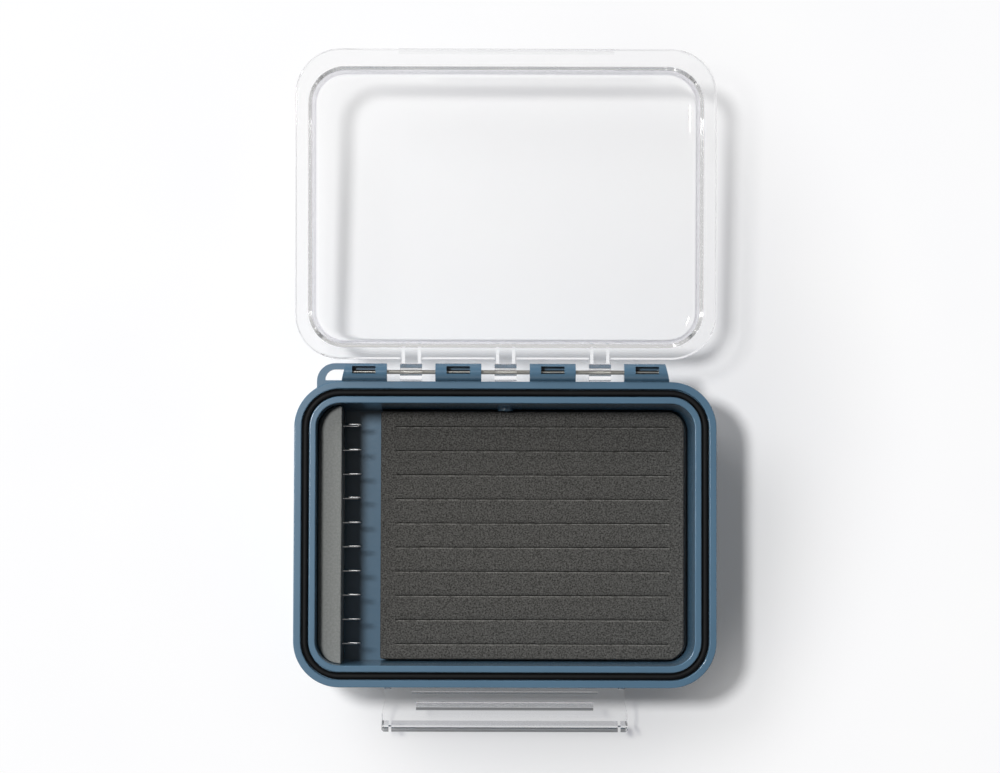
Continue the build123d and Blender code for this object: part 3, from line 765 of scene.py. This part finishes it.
# %% Build the rail
rail_rings = [
    rail_outline(0.0, rail_low.z + rail_height * s / SIDE_RINGS) for s in range(SIDE_RINGS)
]
for step in range(ROUND_STEPS + 1):
    turn = math.radians(90 * step / ROUND_STEPS)
    z = rail_high.z - RAIL_ROUND * (1 - math.sin(turn))
    rail_rings.append(rail_outline(RAIL_ROUND * (1 - math.cos(turn)), z))
rail_rings.append(rail_outline(RAIL_ROUND + TOP_RING, rail_high.z))
wire_rail = mesh_object("foam_wire_rail", *loft(rail_rings), RAIL_FOAM)
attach(wire_rail, "base")
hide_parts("wire_rail")
print("rail:", len(wire_rail.data.polygons), "faces")

# %% [markdown]
# ## White floor
# The box stands on white paper, which is as bright as the background and still carries grey
# shadows. More light would whiten it, but would bleach the box as well. So the paper glows a
# little of its own, for rays from the camera, from gloss and through clear plastic, and lights
# nothing. The glow is weak in an oval about the box, where the shadows fall, and strong outside.

# %% Floor sizes
FLOOR_SIZE = 3.0  # metres
FIBRE_MM = 60  # slow changes of white in the paper
GLOW_NEAR, GLOW_FAR = 0.1, 0.85  # share of the glow inside the oval and outside it
GLOW_MIDDLE = Vector((0.012, 0.045))
GLOW_HALF = Vector((0.115, 0.15))  # half the oval's width and depth
GLOW_START, GLOW_END = 0.75, 1.25  # where the glow rises, in shares of that


# %% Floor
def paper_sweep():
    material, tree = new_material("white_paper_sweep")
    place = add(tree, COORDINATES).outputs["Object"]
    fibre = add(tree, NOISE, {"Vector": place, "Scale": per_mm(FIBRE_MM)})
    colour = add(
        tree, MIX, {0: fibre, 6: linear("FCFCFE"), 7: linear("FFFFFF")}, data_type="RGBA"
    ).outputs[2]
    path = add(tree, "ShaderNodeLightPath").outputs
    seen = path["Is Camera Ray"]
    for kind in ("Is Glossy Ray", "Is Transmission Ray"):
        seen = add(tree, MATH, {0: seen, 1: path[kind]}, operation="MAXIMUM")
    paper = add(tree, "ShaderNodeBsdfDiffuse", {"Color": colour})
    glow = add(tree, "ShaderNodeEmission", {"Color": colour, "Strength": 1.0})
    flat = add(
        tree,
        MAPPING,
        {"Vector": place, "Location": (*GLOW_MIDDLE, 0.0), "Scale": (*GLOW_HALF, 1.0)},
        vector_type="TEXTURE",
    )
    radius = add(tree, "ShaderNodeVectorMath", {0: flat}, operation="LENGTH").outputs["Value"]
    away = add(
        tree,
        RANGE,
        {
            "Value": radius,
            "From Min": GLOW_START,
            "From Max": GLOW_END,
            "To Min": GLOW_NEAR,
            "To Max": GLOW_FAR,
        },
        interpolation_type="SMOOTHSTEP",
    )
    share = add(tree, MATH, {0: seen, 1: away}, operation="MULTIPLY")
    add(
        tree,
        SURFACE,
        {"Surface": add(tree, "ShaderNodeMixShader", {0: share, 1: paper, 2: glow})},
    )
    return material


reach = FLOOR_SIZE / 2
corners = [(-reach, -reach, 0), (reach, -reach, 0), (reach, reach, 0), (-reach, reach, 0)]
floor_mesh = bpy.data.meshes.new("floor")
floor_mesh.from_pydata(corners, [], [(0, 1, 2, 3)])
floor_mesh.materials.append(paper_sweep())
floor = bpy.data.objects.new("floor", floor_mesh)
bpy.context.scene.collection.objects.link(floor)
print("floor:", FLOOR_SIZE, "m square")

# %% [markdown]
# ## Soft room
# The shadows in the photograph tell its light. Beside the lamps there is a weak, low light from
# the rear left, as from a window that is far away, and darkness on the other side. An even grey
# world would fill every shadow alike, so this one is brightest near the horizon and towards the
# lamps. Gloss and clear plastic see a second set of levels: a bright band low down, and a darker
# ceiling, which give the clear parts their bright faces and grey edges.

# %% World levels
LAMP_SIDE = Vector((-0.75, 0.66))  # the side that the light comes from
FILL_LEVEL = 0.2  # what the room gives a floor in the open, without the lamps
LOW_SHARE = 6.0  # a room whose light falls with (1 - z)^2 gives a floor one sixth of its horizon's
SIDE_SHARE = 2.5  # and the lamps' side of that room is this many times as bright as its mean
ROOM_BRIGHTEST = FILL_LEVEL * LOW_SHARE * SIDE_SHARE
# Each row is the height of a ray at the range's start and end, and the level there.
MIRRORED = (0.2, 0.8, 0.9, 0.3)
BENT_LOW = (0.05, 0.3, 1.0, 0.45)
BENT_HIGH = (0.5, 1.0, 0.0, 0.25)
print("brightest part of the room:", round(ROOM_BRIGHTEST, 2))


# %% World
def soft_room():
    world = bpy.data.worlds.new("soft_room")
    world.use_nodes = True
    tree = world.node_tree
    tree.nodes.clear()
    path = add(tree, "ShaderNodeLightPath").outputs
    direction = add(tree, COORDINATES).outputs["Generated"]
    x, y, height = add(tree, SPLIT, {0: direction}).outputs
    side = add(tree, MATH, {0: y, 1: LAMP_SIDE.y}, operation="MULTIPLY")
    side = add(tree, MATH, {0: x, 1: LAMP_SIDE.x, 2: side}, operation="MULTIPLY_ADD")
    low, near_lamp, mirrored, bent_low, bent_high = (
        add(
            tree,
            RANGE,
            {"Value": value, "From Min": a, "From Max": b, "To Min": at_a, "To Max": at_b},
        )
        for value, (a, b, at_a, at_b) in (
            (height, (0.0, 1.0, 1.0, 0.0)),
            (side, (-1.0, 1.0, 0.1, 1.0)),
            (height, MIRRORED),
            (height, BENT_LOW),
            (height, BENT_HIGH),
        )
    )
    low = add(tree, MATH, {0: low, 1: 2.0}, operation="POWER")
    near_lamp = add(tree, MATH, {0: near_lamp, 1: 2.0}, operation="POWER")
    level = add(tree, MATH, {0: low, 1: near_lamp}, operation="MULTIPLY")
    level = add(tree, MATH, {0: level, 1: ROOM_BRIGHTEST}, operation="MULTIPLY")
    bent = add(tree, MATH, {0: bent_low, 1: bent_high}, operation="ADD")
    # A ray that a matt surface sent on sees the room's plain light, even if it is then bent.
    first = add(tree, MATH, {0: path["Diffuse Depth"], 1: 0.5}, operation="LESS_THAN")
    for kind, strength in (("Is Glossy Ray", mirrored), ("Is Transmission Ray", bent)):
        share = add(tree, MATH, {0: path[kind], 1: first}, operation="MULTIPLY")
        level = add(tree, MIX, {0: share, 2: level, 3: strength}, data_type="FLOAT")
    level = add(tree, MIX, {0: path["Is Camera Ray"], 2: level, 3: 1.0}, data_type="FLOAT")
    light = add(tree, "ShaderNodeBackground", {"Color": (1, 1, 1, 1), "Strength": level})
    add(tree, "ShaderNodeOutputWorld", {0: light})
    bpy.context.scene.world = world


soft_room()
print("room gives the floor", FILL_LEVEL)

# %% [markdown]
# ## Two lamps
# A small bright lamp up and to the left, nearly overhead, throws the tray's shadow to the right
# with a fairly sharp edge. A wide soft one, lower and from the rear left, softens it. One big lamp
# in between would blur every shadow alike. Lamps and room together light a surface that faces up
# at a level of 1, so a colour renders about as it is written. The wide lamp isn't mirrored in the
# clear lid, where it would lie as a grey disc.

# %% Lamp sizes
box_middle = Vector((0.0, 0.05, 0.02))
CORE_TOWARDS = Vector((-0.5, 0.19, 1.516))  # metres from the middle of the box
CORE_DIAMETER = 0.24
CORE_LEVEL = 0.62
CLOTH_TOWARDS = Vector((-1.07, 0.92, 1.27))
CLOTH_DIAMETER = 1.1
CLOTH_LEVEL = 1.0 - FILL_LEVEL - CORE_LEVEL
print("levels: room", FILL_LEVEL, "core", CORE_LEVEL, "cloth", round(CLOTH_LEVEL, 2))


# %% Lamps
def round_lamp(name, towards, diameter, level, mirrored):
    """A disc that lights an upward surface at box_middle to the given level."""
    data = bpy.data.lights.new(name, "AREA")
    data.shape = "DISK"
    data.size = diameter
    # A wide disc gives less than a point of the same power, by 1 + (r/d)^2.
    spread = towards.length_squared + (diameter / 2) ** 2
    data.energy = level * math.pi**2 * spread / towards.normalized().z
    lamp = bpy.data.objects.new(name, data)
    lamp.location = box_middle + towards
    lamp.rotation_euler = towards.to_track_quat("Z", "Y").to_euler()
    lamp.visible_glossy = lamp.visible_transmission = mirrored
    bpy.context.scene.collection.objects.link(lamp)
    print(name, round(data.energy, 2), "W")


round_lamp("softbox_core", CORE_TOWARDS, CORE_DIAMETER, CORE_LEVEL, mirrored=True)
round_lamp("softbox_cloth", CLOTH_TOWARDS, CLOTH_DIAMETER, CLOTH_LEVEL, mirrored=False)

# %% [markdown]
# ## Camera
# The photograph was taken from almost straight above with a long lens. The distance and the lens
# come from how much smaller the tray's floor looks than its rim, and the tilt from how much of
# its front inner wall shows. Light needs many turns inside the lid's corners before it comes out,
# and with few bounces they render black, so the limits are high.

# %% Camera and light paths
IMAGE_WIDTH = 1000  # pixels
FOCAL_PIXELS = 3694
AIM = Vector((-0.00177, 0.05248, 0.036))  # where the lens axis meets the rim's height
AIM_DISTANCE = 1.312
TILT = math.radians(3.05)
ROLL = math.radians(0.15)
BOUNCES = 64
camera_data = bpy.data.cameras.new("camera")
camera_data.sensor_width = 36.0
camera_data.lens = FOCAL_PIXELS * camera_data.sensor_width / IMAGE_WIDTH
camera_data.clip_end = 20
camera = bpy.data.objects.new("camera", camera_data)
camera.location = AIM + AIM_DISTANCE * Vector((0, -math.sin(TILT), math.cos(TILT)))
camera.rotation_euler = (TILT, 0, ROLL)
bpy.context.scene.collection.objects.link(camera)
bpy.context.scene.camera = camera
bpy.context.scene.view_settings.view_transform = "Standard"
paths = bpy.context.scene.cycles
paths.max_bounces = paths.glossy_bounces = paths.transmission_bounces = BOUNCES
print("lens", round(camera_data.lens, 1), "mm")
